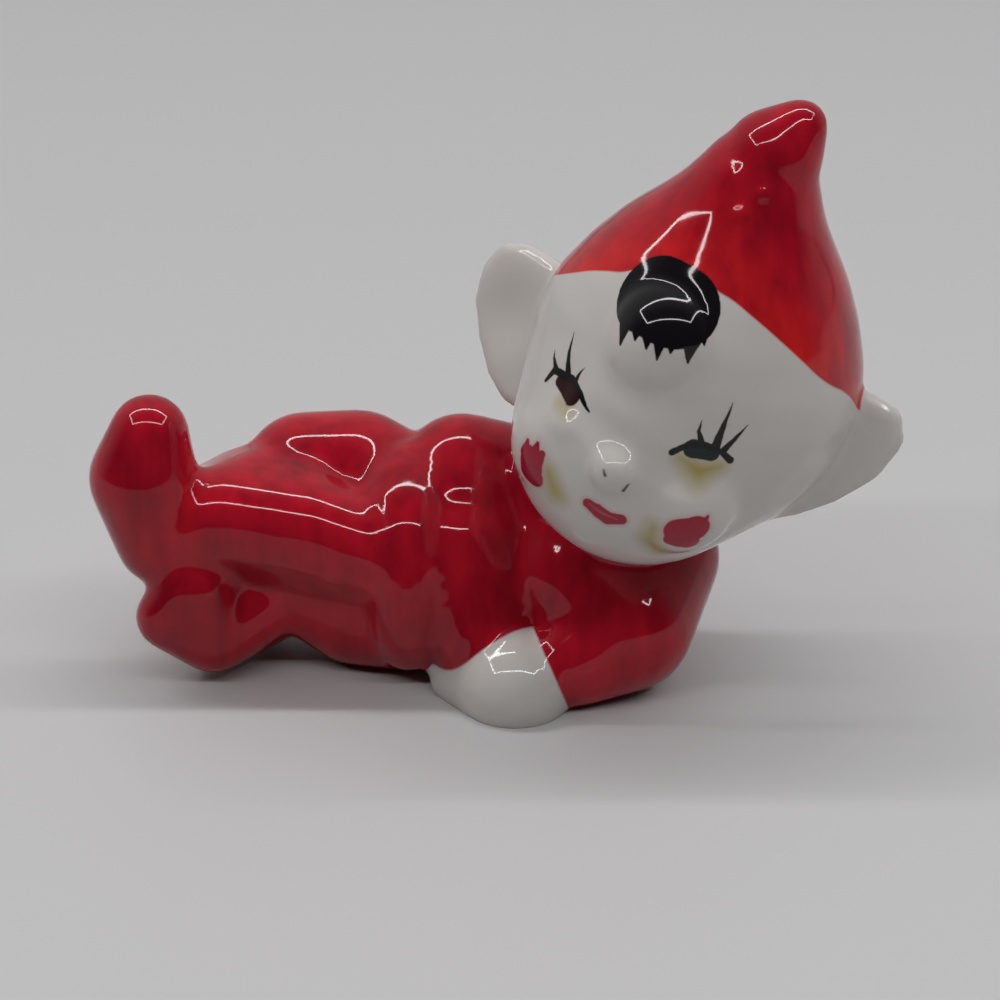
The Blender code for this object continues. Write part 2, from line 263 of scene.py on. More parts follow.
red_clay = [
    wrap(HIP, LOIN, PELVIS),
    wrap(PELVIS, BELLY, GROIN, THIGH),
    wrap(LOIN, WAIST, PELVIS),
    wrap(WAIST, GROIN, sized(RIBS, WAIST[3])),
    wrap(RIBS, NAPE, CHEST, UNDER_CHEST),
]
print("trunk:", len(red_clay), "skins")

# %% [markdown]
# ## Legs
# The upper leg lies in front of the hips, with its knee drawn up against the
# belly, and its foot stands on end. The lower leg lies on the table behind it,
# and shows only its foot.

# %% Legs
KNEE = (-8.8, 0.7, 12.0, 4.2)
SHIN = (-16.0, 1.5, 14.2, 4.6)
ANKLE = (-23.0, 1.9, 15.3, 4.5)
ANKLE_UNDER = (-22.0, 4.5, 10.8, 4.2)
CALF = (-21.8, 8.5, 14.4, 4.2)
HEEL_UP = (-28.6, 2.1, 13.0, 4.2)
SOLE_UP = (-30.0, 2.1, 18.8, 4.8)
TOE_UP = (-29.3, 2.3, 23.0, 3.5)
LEG_LOW = (-20.0, 7.1, 4.6, 4.2)
TOE_LOW = (-26.0, -0.5, 9.4, 3.1)
SOLE_LOW = (-28.1, -0.5, 6.6, 3.0)
HEEL_LOW = (-24.4, 0.9, 4.2, 3.6)
THIGH_ROOT = sized(THIGH, 4.2)
HIP_ROOT = sized(HIP, 4.1)
WAIST_FOLD = sized(WAIST, 4.0)
BELLY_FOLD = sized(BELLY, 4.0)
ANKLE_BEHIND = sized(ANKLE_UNDER, 3.1)
HEM_X = -7.0                   # the roll of clay beside the knee
HEM_MIDDLE = (6.1, 9.35)       # y and z of the middle of its curve
HEM_REACH = 11.0               # how far its outside lies from that middle
HEM_TURNS = range(88, -41, -16)   # where its balls lie, in degrees round that middle
HEM_TOP = 4.7                  # radius of its highest ball
HEM_FOOT = 3.0                 # radius of its lowest ball

hem = []
for turn in HEM_TURNS:
    share = (turn - HEM_TURNS[-1]) / (HEM_TURNS[0] - HEM_TURNS[-1])
    radius = HEM_FOOT + share * (HEM_TOP - HEM_FOOT)
    hem.append((HEM_X, HEM_MIDDLE[0] - (HEM_REACH - radius) * cos(radians(turn)),
                HEM_MIDDLE[1] + (HEM_REACH - radius) * sin(radians(turn)), radius))
red_clay += [
    wrap(SHIN, ANKLE, CALF, ANKLE_UNDER, THIGH_ROOT, HIP_ROOT),
    wrap(KNEE, SHIN, WAIST_FOLD, BELLY_FOLD),
    wrap(*hem),
    wrap(ANKLE, CALF, HEEL_UP),
    *limb(HEEL_UP, SOLE_UP, TOE_UP),
    wrap(THIGH_ROOT, LEG_LOW, HEEL_LOW),
    wrap(TOE_LOW, SOLE_LOW, HEEL_LOW),
    wrap(TOE_LOW, LEG_LOW, HEEL_LOW, ANKLE_BEHIND),
]
print("with legs:", len(red_clay), "skins")

# %% [markdown]
# ## Arms and hands
# The right arm comes down over the belly, and the left arm is propped on its
# elbow. Both hands meet on the table in one white mound.

# %% Arms and hands
SHOULDER_UP = (-2.3, 7.6, 16.6, 5.6)
SHOULDER_FRONT = (-2.3, 5.4, 14.6, 5.8)
ARM_MIDDLE = (-2.4, 4.6, 12.0, 4.5)
ELBOW_UP = (-2.4, 2.0, 12.6, 4.8)
CUFF_UP = (-0.8, -0.9, 5.4, 4.6)
SHOULDER_LOW = (15.1, 5.1, 9.8, 5.7)
ELBOW_LOW = (11.9, -0.6, 6.2, 6.4)
CUFF_LOW = (7.7, -3.3, 3.9, 4.3)
CHEST_FRONT = (8.5, 2.6, 9.6, 7.2)
HANDS = (2.4, -4.3, 1.8, 5.0)
FINGERS = (-2.8, -1.7, 1.0, 2.4)
SHOULDER_ROOT = sized(RIBS, 5.1)
SLEEVE_BACK = sized(WAIST, 5.0)
SLEEVE_FOOT = sized(GROIN, 4.6)

red_clay += [
    wrap(SHOULDER_UP, SHOULDER_FRONT),
    *limb(ARM_MIDDLE, ELBOW_UP, CUFF_UP),
    wrap(SHOULDER_ROOT, SHOULDER_UP, NAPE),
    wrap(RIBS, ELBOW_UP, CUFF_UP),
    wrap(SLEEVE_BACK, ELBOW_UP, SLEEVE_FOOT),
    wrap(NAPE, CHEST, SHOULDER_LOW, ELBOW_LOW, CHEST_FRONT),
    wrap(ELBOW_LOW, CUFF_LOW),
]
hand_clay = [wrap(HANDS, FINGERS)]
print("with arms:", len(red_clay), "skins")

# %% [markdown]
# ## Head
# The head is turned, nodded and tilted, so its forms are placed in a frame of
# its own: x to the ear on the right of the picture, y to the back, z to the
# top. The skull and the jaw are two balls under one skin, and two cheeks and a
# button nose are pressed on.

# %% Head
HEAD_MIDDLE = (17.5, 0.1, 29.8)
HEAD_TURN = -18.0
HEAD_NOD = -17.5
HEAD_TILT = 17.0
SKULL = (0, 0, 0, 14.3)
JAW = (-1.0, -4.0, -5.8, 11.3)
NOSE = (-0.1, -14.0, -7.7, 2.3)
CHEEK_FAR = (-5.4, -8.8, -8.2, 5.2)
CHEEK_NEAR = (4.4, -8.8, -8.2, 5.2)
CURL = (-0.8, -11.4, 3.5, 4.8)
CURL_FOOT = (-1.0, -11.6, 2.4, 4.6)
NECK = (0, 0, -7.1, 6.6)
NECK_ROOT = sized(CHEST, 5.8)

head_matrix = (Matrix.Translation(HEAD_MIDDLE)
               @ Matrix.Rotation(radians(HEAD_TURN), 4, "Z")
               @ Matrix.Rotation(radians(HEAD_NOD), 4, "X")
               @ Matrix.Rotation(radians(HEAD_TILT), 4, "Y"))


def on_head(ball):
    """Return a ball of the head's frame in the figurine's frame."""
    return (*(head_matrix @ Vector(ball[:3])), ball[3])


red_clay.append(wrap(NAPE, on_head(NECK), NECK_ROOT))
head_clay = [
    wrap(on_head(SKULL), on_head(JAW)),
    wrap(on_head(NOSE)),
    wrap(on_head(CHEEK_FAR)),
    wrap(on_head(CHEEK_NEAR)),
]
curl_clay = [wrap(on_head(CURL), on_head(CURL_FOOT))]
print("head:", len(head_clay), "skins and a curl")

# %% [markdown]
# ## Pointed hat
# The hat is modelled as if it were turned on a wheel, so it is round about its
# own axis. It starts as a disc, which is extruded upwards ring by ring, each ring
# narrower than the last. Then it is set on the head, leaning a little.

# %% Hat
HAT_LEAN = 15.0                # degrees that the hat leans to the right
HAT_NOD = 8.0                  # degrees that it leans forward
HAT_SIDES = 64                 # corners of one ring
HAT_FLANK = ((0.0, 14.2), (2.0, 14.3), (5.0, 13.6), (7.0, 12.7), (8.5, 12.0), (10.0, 11.1),
             (11.5, 10.2), (13.0, 9.1), (14.0, 8.3), (15.5, 7.2), (17.0, 6.2), (19.0, 5.2),
             (20.5, 4.5), (21.5, 3.8))
HAT_TIP_LOW = (0.4, 0, 20.9, 4.1)
HAT_TIP = (1.7, 0, 24.1, 2.3)

hat_matrix = (Matrix.Translation(HEAD_MIDDLE)
              @ Matrix.Rotation(radians(HAT_NOD), 4, "X")
              @ Matrix.Rotation(radians(HAT_LEAN), 4, "Y"))


def turned_hat(flank):
    """Turn the hat's flank from steps of (height, radius), and set it on the head."""
    bpy.ops.object.select_all(action="DESELECT")
    height, radius = flank[0]
    bpy.ops.mesh.primitive_circle_add(
        vertices=HAT_SIDES, radius=radius * MM, fill_type="NGON", location=(0, 0, height * MM))
    hat = bpy.context.object
    bpy.ops.object.transform_apply(location=True, rotation=True, scale=True)
    bpy.ops.object.mode_set(mode="EDIT")
    for (low, wide), (high, narrow) in zip(flank, flank[1:]):
        bpy.ops.mesh.extrude_region_move(
            TRANSFORM_OT_translate={"value": (0, 0, (high - low) * MM)})
        bpy.ops.transform.resize(value=(narrow / wide, narrow / wide, 1),
                                 center_override=(0, 0, high * MM))
    bpy.ops.mesh.select_all(action="SELECT")
    bpy.ops.mesh.normals_make_consistent(inside=False)
    bpy.ops.object.mode_set(mode="OBJECT")
    hat.data.transform(Matrix.Scale(MM, 4) @ hat_matrix @ Matrix.Scale(1 / MM, 4))
    return hat


tip = [(*(hat_matrix @ Vector(ball[:3])), ball[3]) for ball in (HAT_TIP_LOW, HAT_TIP)]
hat_clay = [turned_hat(HAT_FLANK), wrap(*tip)]
print("hat:", len(HAT_FLANK), "rings")

# %% [markdown]
# ## Ears
# Each ear is a thin leaf with a rounded rim. A skin over small balls along the
# leaf's outline gives the plate, and its front is hollowed later, when all the
# clay is one piece.

# %% Ears
EAR_RIM = 1.05                 # radius of the rounded rim
EAR_SWEEP = 3.0                # how far the tip lies behind the root


def leaf(side, outline):
    """Return one ear's plate over (outwards, up) points of its outline."""
    root = min(out for out, up in outline)
    reach = max(out for out, up in outline)
    rim = [on_head((side * out, EAR_SWEEP * (out - root) / (reach - root), up, EAR_RIM))
           for out, up in outline]
    return wrap(*rim)


EAR_FAR = ((12.8, 2.6), (17.6, 3.0), (19.6, 2.4), (20.4, 0.4), (20.0, -2.2),
           (18.4, -4.8), (16.2, -7.2), (14.2, -8.4), (12.6, -8.4))
EAR_NEAR = ((9.2, 2.6), (14.6, 3.2), (16.8, 2.8), (17.6, 1.0), (16.8, -2.0),
            (14.6, -5.0), (12.2, -7.2), (10.4, -8.3), (9.0, -8.4))
ear_clay = [leaf(-1, EAR_FAR), leaf(1, EAR_NEAR)]
print("ears:", len(ear_clay))

# %% [markdown]
# ## One casting
# A voxel remesh turns all the overlapping skins into one closed skin with even
# faces, and passes of smoothing melt the joints, as slip and glaze do. Then
# the underside is cut flat where the figurine stands.

# %% Fuse the clay
GRAIN = 0.36                   # size of the even faces
SMOOTHING = 0.5                # how far one pass moves a corner to its neighbours' middle
MELT = 20                      # passes of smoothing everywhere
BODY_MELT = 12                 # further passes on the soft forms of the body
BODY_EDGE = 1.0                # over how many millimetres those passes set in
CUT_PRECISION = 0.001          # corners as near to the cut as this lie on it
SEAT = (-0.22, 0.19, 0.0)      # the last step, to where the plain model stands
FAR = 2.0                      # beyond this, it doesn't matter how far a form lies


def apply_modifier(thing, kind, **settings):
    """Add a modifier with its settings, and apply it."""
    modifier = thing.modifiers.new(kind.lower(), kind)
    for name, value in settings.items():
        setattr(modifier, name, value)
    bpy.ops.object.modifier_apply(modifier=modifier.name)


def surface_tree(skins):
    """Return a search tree over the faces of several skins."""
    points = []
    faces = []
    for skin in skins:
        first = len(points)
        points += [v.co / MM for v in skin.data.vertices]
        faces += [[first + k for k in face.vertices] for face in skin.data.polygons]
    return BVHTree.FromPolygons(points, faces)


forms = {"body": red_clay, "hands": hand_clay, "head": head_clay,
         "hat": hat_clay, "ears": ear_clay, "curl": curl_clay}
nearest_form = {name: surface_tree(skins) for name, skins in forms.items()}


def away_from(names, spot):
    """Return how far a spot lies from the nearest of some forms, up to a limit."""
    hits = [nearest_form[name].find_nearest(spot, FAR)[3] for name in names]
    return min([FAR, *(hit for hit in hits if hit is not None)])


bpy.ops.object.select_all(action="DESELECT")
for skins in forms.values():
    for skin in skins:
        skin.select_set(True)
figurine = red_clay[0]
bpy.context.view_layer.objects.active = figurine
bpy.ops.object.join()
figurine.name = "glazed_elf_figurine"
apply_modifier(figurine, "REMESH", mode="VOXEL", voxel_size=GRAIN * MM)
apply_modifier(figurine, "SMOOTH", factor=SMOOTHING, iterations=MELT)

soft = figurine.vertex_groups.new(name="soft_forms")
for corner in figurine.data.vertices:
    spot = corner.co / MM
    nearer = away_from(("head", "hat", "ears", "curl"), spot) - away_from(("body",), spot)
    share = min(1.0, max(0.0, nearer / BODY_EDGE))
    soft.add([corner.index], share, "REPLACE")
apply_modifier(figurine, "SMOOTH", factor=SMOOTHING, iterations=BODY_MELT, vertex_group=soft.name)
bpy.ops.object.mode_set(mode="EDIT")
bpy.ops.mesh.select_all(action="SELECT")
bpy.ops.mesh.bisect(plane_co=(0, 0, 0), plane_no=(0, 0, 1), threshold=CUT_PRECISION * MM,
                    use_fill=True, clear_inner=True)
bpy.ops.object.mode_set(mode="OBJECT")
figurine.data.transform(Matrix.Translation(metres(SEAT)))
figurine.data.shade_smooth()
print("one casting:", len(figurine.data.polygons), "faces")

# %% [markdown]
# ## Modelling the face and the ears
# The modeller now presses small hollows into the clay with a thumb or a tool.
# A press moves one point of the mesh, and proportional editing lets the move
# fade out around it. A drop of glaze is a small press outwards. A place on the
# head is found by looking at the head's middle from outside.

# %% Presses
HEAD_AWAY = 30.0               # where each line of sight starts: outside the head,
EAR_AWAY = 10.0                # just in front of an ear,
VIEW_AWAY = 100.0              # or well in front of the whole figurine
FACE_DEPTH = 0.26              # depth of one press of a row; neighbours add up
FACE_REACH = 2.4
SOCKET_DEPTH = 0.35
SOCKET_REACH = 3.4
CHEEKBONE_RISE = 0.3
CHEEKBONE_REACH = 2.0
LUMP_HEIGHT = 0.24             # drops of glaze that stand proud
LUMP_REACH = 1.0
HOLLOW_ROW = ((-15, -16.5), (-9, -17.5), (-3, -18.8), (3, -19.6), (9, -21), (15, -22.4),
              (21, -23.4), (27, -24))
SOCKETS = ((-27, -13), (24, -14))
CHEEKBONE = (-20.5, -22.0)
EAR_HOLLOWS = (((13.8, -2.0, -0.8), 0.8, 3.4), ((12.6, -2.0, -4.6), 0.6, 3.0),
               ((-17.0, -2.0, -2.2), 0.5, 4.6))
LUMPS = ((20.9, 24.6), (19.3, 22.9), (-14.6, -7.4))
turn_of_head = head_matrix.to_3x3()


def globe(degrees_round, degrees_up):
    """Return the direction of a place on the head, in the head's frame."""
    turn, rise = radians(degrees_round), radians(degrees_up)
    return Vector((sin(turn) * cos(rise), -cos(turn) * cos(rise), sin(rise)))


def press(start, sight_line, depth, reach):
    """Press the clay that a line of sight meets, by a depth that fades over a reach."""
    _, spot, _, face = figurine.ray_cast(metres(Vector(start) + Vector(SEAT)), sight_line)
    corners = figurine.data.polygons[face].vertices
    nearest = min(corners, key=lambda k: (figurine.data.vertices[k].co - spot).length)
    bpy.ops.object.mode_set(mode="EDIT")
    bpy.ops.mesh.select_mode(type="VERT")
    bpy.ops.mesh.select_all(action="DESELECT")
    bpy.ops.object.mode_set(mode="OBJECT")
    figurine.data.vertices[nearest].select = True
    bpy.ops.object.mode_set(mode="EDIT")
    bpy.ops.transform.translate(
        value=sight_line * depth * MM, use_proportional_edit=True,
        proportional_edit_falloff="SMOOTH", proportional_size=reach * MM,
        use_proportional_connected=True)
    bpy.ops.object.mode_set(mode="OBJECT")


def press_face(degrees_round, degrees_up, depth, reach):
    """Press the head from outside, straight towards its middle."""
    outside = turn_of_head @ globe(degrees_round, degrees_up)
    press(Vector(HEAD_MIDDLE) + HEAD_AWAY * outside, -outside, depth, reach)


def press_seen(right, up, depth, reach):
    """Press what the camera sees at a place, given from the middle of the picture."""
    spot = Vector(LOOK_AT) + Vector((right, 0, 0)) + up * sight.cross(Vector((-1, 0, 0)))
    press(spot - Vector(SEAT) - VIEW_AWAY * sight, sight, depth, reach)


for turn, rise in HOLLOW_ROW:
    press_face(turn, rise, FACE_DEPTH, FACE_REACH)
for turn, rise in SOCKETS:
    press_face(turn, rise, SOCKET_DEPTH, SOCKET_REACH)
for (x, y, z), depth, reach in EAR_HOLLOWS:
    press(head_matrix @ Vector((x, y - EAR_AWAY, z)), turn_of_head @ Vector((0, 1, 0)),
          depth, reach)
press_face(*CHEEKBONE, -CHEEKBONE_RISE, CHEEKBONE_REACH)
for right, up in LUMPS:
    press_seen(right, up, -LUMP_HEIGHT, LUMP_REACH)
print("hollows:", len(HOLLOW_ROW + SOCKETS + EAR_HOLLOWS), "and drops of glaze:", len(LUMPS))

# %% [markdown]
# ## Where each colour goes
# The colours follow the forms. So each point of the mesh
# stores how much nearer it lies to the forms of one colour than to the rest.
# The value is 0 on the line between two colours, which keeps that line sharp.

# %% Marks on the clay


def mark(name, inside, outside):
    """Store how much nearer each point lies to some forms than to others."""
    field = figurine.data.attributes.new(name, "FLOAT", "POINT")
    for corner in figurine.data.vertices:
        spot = corner.co / MM - Vector(SEAT)
        field.data[corner.index].value = away_from(outside, spot) - away_from(inside, spot)


mark("on_head", ("head", "hat", "ears", "curl"), ("body",))
mark("on_ears", ("ears",), ("head", "hat", "curl"))
mark("on_hands", ("hands",), ("body", "head", "hat", "ears", "curl"))
print("marks:", [field.name for field in figurine.data.attributes if field.name[:3] == "on_"])

# %% [markdown]
# ## Places on the head
# The painter's brush follows the round head, so each place there is given as
# on a globe: degrees to the right, and degrees up. The material turns a point
# of the clay into that globe, which has a radius of 15 mm, so widths of
# strokes stay in millimetres. A little noise makes the strokes' edges shake.

# %% Glazed china, and the globe of the head
FACE_RADIUS = 15.0
SHAKE = 0.10                   # how far a brush stroke's edge strays
SHAKE_SIZE = 0.5               # how long one waver of the edge is
NOISE_MIDDLE = 0.5             # what Blender's noise swings about

china = bpy.data.materials.new("glazed_bone_china")
tree = empty_tree(china)


def on_face(degrees_round, degrees_up):
    """Return the place on the globe of the head, in millimetres."""
    return FACE_RADIUS * globe(degrees_round, degrees_up)


place = add_node(tree, "ShaderNodeTexCoord").outputs["Object"]
head_spot = add_node(tree, "ShaderNodeMapping", {
    "Vector": place, "Location": metres(Vector(HEAD_MIDDLE) + Vector(SEAT)),
    "Rotation": head_matrix.to_euler(), "Scale": (MM, MM, MM)},
    vector_type="TEXTURE").outputs["Vector"]
outward = add_node(tree, "ShaderNodeVectorMath", {0: head_spot}, operation="NORMALIZE").outputs[0]
waver = add_node(tree, "ShaderNodeTexNoise", {
    "Vector": head_spot, "Scale": 1 / SHAKE_SIZE, "Detail": 1.0}).outputs["Color"]
centred = add_node(tree, "ShaderNodeVectorMath", {0: waver, 1: (NOISE_MIDDLE,) * 3},
                   operation="SUBTRACT").outputs[0]
shaken = add_node(tree, "ShaderNodeVectorMath", {
    0: centred, 1: (SHAKE,) * 3, 2: (0, 0, 0)}, operation="MULTIPLY_ADD").outputs[0]
face_spot = add_node(tree, "ShaderNodeVectorMath", {
    0: outward, 1: (FACE_RADIUS,) * 3, 2: shaken}, operation="MULTIPLY_ADD").outputs[0]
print("globe of the head:", FACE_RADIUS, "mm")

# %% [markdown]
# ## A brush
# A stroke is a line with a width at each end, so a lash starts thick and ends
# in a point. The distance from the line, less the width, is below 0 inside the
# stroke. The smallest such distance over many strokes joins them all.

# %% Brush
EDGE = 0.05                    # how soft a stroke's edge is


def row(places, widths):
    """Return the strokes that join a row of places, with a half width at each."""
    return list(zip(places, places[1:], widths, widths[1:]))


def brush(strokes, edge=EDGE):
    """Return how much the strokes cover of each spot: 1 inside, 0 outside."""
    nearest = None
    for start, end, wide, narrow in strokes:
        start, end = on_face(*start), on_face(*end)
        along = end - start
        away = add_node(tree, "ShaderNodeVectorMath", {0: face_spot, 1: start},
                        operation="SUBTRACT").outputs[0]
        share = add_node(tree, "ShaderNodeVectorMath", {
            0: away, 1: along / along.length_squared}, operation="DOT_PRODUCT").outputs["Value"]
        share = add_node(tree, "ShaderNodeClamp", {"Value": share}).outputs[0]
        passed = add_node(tree, "ShaderNodeVectorMath", {0: along, "Scale": share},
                          operation="SCALE").outputs[0]
        aside = add_node(tree, "ShaderNodeVectorMath", {0: away, 1: passed},
                         operation="SUBTRACT").outputs[0]
        aside = add_node(tree, "ShaderNodeVectorMath", {0: aside},
                         operation="LENGTH").outputs["Value"]
        outside = add_node(tree, "ShaderNodeMath", {0: share, 1: wide - narrow, 2: aside},
                           operation="MULTIPLY_ADD").outputs[0]
        outside = add_node(tree, "ShaderNodeMath", {0: outside, 1: wide},
                           operation="SUBTRACT").outputs[0]
        if nearest is not None:
            outside = add_node(tree, "ShaderNodeMath", {0: nearest, 1: outside},
                               operation="MINIMUM").outputs[0]
        nearest = outside
    return add_node(tree, "ShaderNodeMapRange", {
        "Value": nearest, "From Min": edge, "From Max": -edge}).outputs["Result"]


print("brush edge:", EDGE, "mm")

# %% [markdown]
# ## Red glaze
# The suit and the hat carry a clear red glaze, which could be brushed on or
# dipped. It looks deep where it is thick, and lighter where it is thin. It runs
# down as it melts, so the noise is stretched from top to bottom.

# %% Red glaze
STREAK_WIDE = 1.6              # across a streak
STREAK_LONG = 9.0              # along it
CLOUD = 7.0                    # a patch of thicker or thinner glaze
RED_DEEP = "#78091c"
RED_THIN = "#be1729"
NOISE_DEEP = 0.5               # the sum of both noises where the red is deepest
NOISE_THIN = 1.5               # and where it is thinnest

streak_spot = add_node(tree, "ShaderNodeMapping", {
    "Vector": place, "Scale": (1 / (STREAK_WIDE * MM), 1 / (STREAK_WIDE * MM),
                               1 / (STREAK_LONG * MM))}).outputs["Vector"]
streaks = add_node(tree, "ShaderNodeTexNoise", {
    "Vector": streak_spot, "Scale": 1.0, "Detail": 3.0}).outputs["Fac"]
clouds = add_node(tree, "ShaderNodeTexNoise", {
    "Vector": place, "Scale": 1 / (CLOUD * MM), "Detail": 2.0}).outputs["Fac"]
both = add_node(tree, "ShaderNodeMath", {0: streaks, 1: clouds}, operation="ADD").outputs[0]
thin = add_node(tree, "ShaderNodeMapRange", {
    "Value": both, "From Min": NOISE_DEEP, "From Max": NOISE_THIN}).outputs["Result"]
red = add_node(tree, "ShaderNodeMix", {
    SHARE: thin, FIRST: linear(RED_DEEP), SECOND: linear(RED_THIN)},
    data_type="RGBA").outputs[MIXED]
print("red glaze from", RED_DEEP, "to", RED_THIN)

# %% [markdown]
# ## White china and the painted face
# The face, the ears and the hands stay white under clear glaze. The face is
# painted with a fine brush: thin black lashes, a rosy mouth and cheeks, and a
# wash of yellow that has run from the eyes. The strokes are laid on in coats,
# and a wide soft coat under a sharp one shows where the colour has bled.

# %% Face
WHITE = "#c4bfbb"
BLACK = "#151215"
ROSE = "#991530"
MOUTH_BLED = "#b98d8c"
MOUTH_WORN = "#b0586a"         # along the line between the lips
CHEEK_BLED = "#c09a98"
YELLOW_WASH = "#a4945a"
NOSTRIL_BROWN = "#3a2224"
EYE_BROWN = "#2c0f10"
EYE_GREY = "#1b2224"

eye_left = row([(-36.2, -14.5), (-34.8, -10.6), (-26, -10.2), (-19.9, -12.7), (-14.8, -15.9)],
               [0.18, 0.32, 0.36, 0.28, 0.08])
eye_left += row([(-34.2, -10.2), (-37.5, -7.5), (-39.0, -5.3)], [0.26, 0.14, 0.03])
eye_left += row([(-28.6, -10), (-32.1, -3.3), (-34.0, 3.1)], [0.34, 0.18, 0.03])
eye_left += row([(-24.4, -10.5), (-24.2, -7.6), (-23.2, -5.1)], [0.26, 0.14, 0.03])
eye_right = row([(14.8, -17.4), (18.8, -13.8), (24.3, -12.6), (30.5, -12.9), (34.4, -14.5)],
                [0.3, 0.26, 0.3, 0.26, 0.34])
eye_right += row([(22.6, -12), (20.3, -8.7), (19.8, -5.1)], [0.3, 0.16, 0.03])
eye_right += row([(27.8, -12), (27.1, -3.9), (26.9, 3.9)], [0.42, 0.22, 0.03])
eye_right += row([(30.8, -12.2), (33.0, -5.8), (34.7, -1.3)], [0.3, 0.17, 0.03])
iris_left = row([(-30.4, -12.6), (-22.6, -14.2)], [0.5, 0.74])
iris_right = row([(20.8, -14.6), (27.4, -14.2)], [0.8, 0.7])
nostrils = row([(-1.7, -25.8), (-0.9, -26.8)], [0.06, 0.11])
nostrils += row([(6.2, -28.2), (5.4, -30.4)], [0.07, 0.11])
mouth = row([(-4.6, -39.4), (-1.2, -40.3), (3.0, -41.7), (7.6, -40.7)], [0.42, 0.56, 0.6, 0.46])
mouth_line = row([(-4.1, -39.3), (0.7, -40.6), (6.4, -41.1)], [0.02, 0.05, 0.02])
cheeks = row([(-29.4, -33.2), (-28.4, -38.8)], [0.75, 1.05])
cheeks += row([(-24.6, -31.5), (-27.5, -36.0)], [0.3, 0.9])
for low, high in (((-30.6, -32.6), (-31.0, -29.8)), ((-27.2, -32.4), (-27.0, -29.2)),
                  ((32.2, -32.8), (33.4, -30.0))):
    cheeks += row([low, high], [0.6, 0.16])
cheeks += row([(27.4, -36.2), (31.4, -34.2)], [1.15, 1.1])
cheeks += row([(27.0, -39.6), (32.2, -39.0)], [0.7, 0.8])
wash = row([(18.5, -18.6), (25.8, -20.8), (32.0, -17.4)], [0.5, 0.9, 0.5])
wash += row([(-21.5, -36.0), (-18.0, -41.0)], [0.6, 0.8])
wash += row([(19.0, -38.5), (20.5, -45.0), (28.0, -50.0)], [0.4, 0.7, 0.5])
wash += row([(-26.0, -17.4), (-22.0, -17.8)], [0.2, 0.3])

coats = (                      # strokes, their colour, and how soft their edge is
    (wash, YELLOW_WASH, 0.8), (mouth, MOUTH_BLED, 0.35), (mouth, ROSE, EDGE),
    (mouth_line, MOUTH_WORN, 0.1), (cheeks, CHEEK_BLED, 0.4), (cheeks, ROSE, EDGE),
    (nostrils, NOSTRIL_BROWN, 0.08), (iris_left, EYE_BROWN, EDGE),
    (iris_right, EYE_GREY, EDGE), (eye_left + eye_right, BLACK, EDGE))

skin = linear(WHITE)
for strokes, colour, edge in coats:
    skin = add_node(tree, "ShaderNodeMix", {
        SHARE: brush(strokes, edge), FIRST: skin, SECOND: linear(colour)},
        data_type="RGBA").outputs[MIXED]
print("coats:", len(coats), "of", sum(len(strokes) for strokes, colour, edge in coats), "strokes")

# %% [markdown]
# ## Edge of the hat
# The red of the hat ends in one hand-cut line across the forehead. The line is
# a curve of degrees up over degrees round. A curve node runs from 0 to 1 both
# ways, so degrees are brought down to that, and its answer is brought back up.

# %% Brim
BRIM = ((-180, -34), (-95, 9), (-66.8, 14.0), (-53.2, 18.5), (-42.9, 22.5), (-35.2, 25.1),
        (-28.1, 27.2), (-21.9, 30.7), (-10, 36), (-0.5, 36.8), (7.5, 34.0), (14.5, 33.0),
        (21.9, 31.1), (30.8, 28.6), (40.4, 25.5), (48.0, 22.8), (56.6, 19.8), (64.0, 18.1),
        (71.0, 17.1), (95, 9), (180, -34))
BRIM_EDGE = 0.35               # degrees over which the red sets in

axes = add_node(tree, "ShaderNodeSeparateXYZ", {"Vector": outward}).outputs
ahead = add_node(tree, "ShaderNodeMath", {0: axes["Y"], 1: -1.0}, operation="MULTIPLY").outputs[0]
turn = add_node(tree, "ShaderNodeMath", {0: axes["X"], 1: ahead}, operation="ARCTAN2").outputs[0]
turn = add_node(tree, "ShaderNodeMath", {0: turn}, operation="DEGREES").outputs[0]
rise = add_node(tree, "ShaderNodeMath", {0: axes["Z"]}, operation="ARCSINE").outputs[0]
rise = add_node(tree, "ShaderNodeMath", {0: rise}, operation="DEGREES").outputs[0]
turn = add_node(tree, "ShaderNodeMapRange", {
    "Value": turn, "From Min": -180, "From Max": 180}).outputs["Result"]
line = add_node(tree, "ShaderNodeFloatCurve", {"Value": turn})
curve = line.mapping.curves[0]
for number, (degrees_round, degrees_up) in enumerate(BRIM):
    corner = ((degrees_round + 180) / 360, (degrees_up + 90) / 180)
    if number in (0, len(BRIM) - 1):
        curve.points[-1 if number else 0].location = corner
    else:
        curve.points.new(*corner)
line.mapping.update()
brim = add_node(tree, "ShaderNodeMath", {
    0: line.outputs["Value"], 1: 180.0}, operation="MULTIPLY").outputs[0]
brim = add_node(tree, "ShaderNodeMath", {0: brim, 1: 90.0}, operation="SUBTRACT").outputs[0]
past_brim = add_node(tree, "ShaderNodeMath", {
    0: rise, 1: brim}, operation="SUBTRACT").outputs[0]
above_brim = add_node(tree, "ShaderNodeMapRange", {
    "Value": past_brim, "From Min": -BRIM_EDGE, "From Max": BRIM_EDGE}).outputs["Result"]
print("points of the brim:", len(BRIM))

# %% [markdown]
# ## Black curl
# The curl is a bump of clay under black glaze, whose lower edge the painter
# pulled out into locks of hair. Each lock is a stroke that ends in a point.

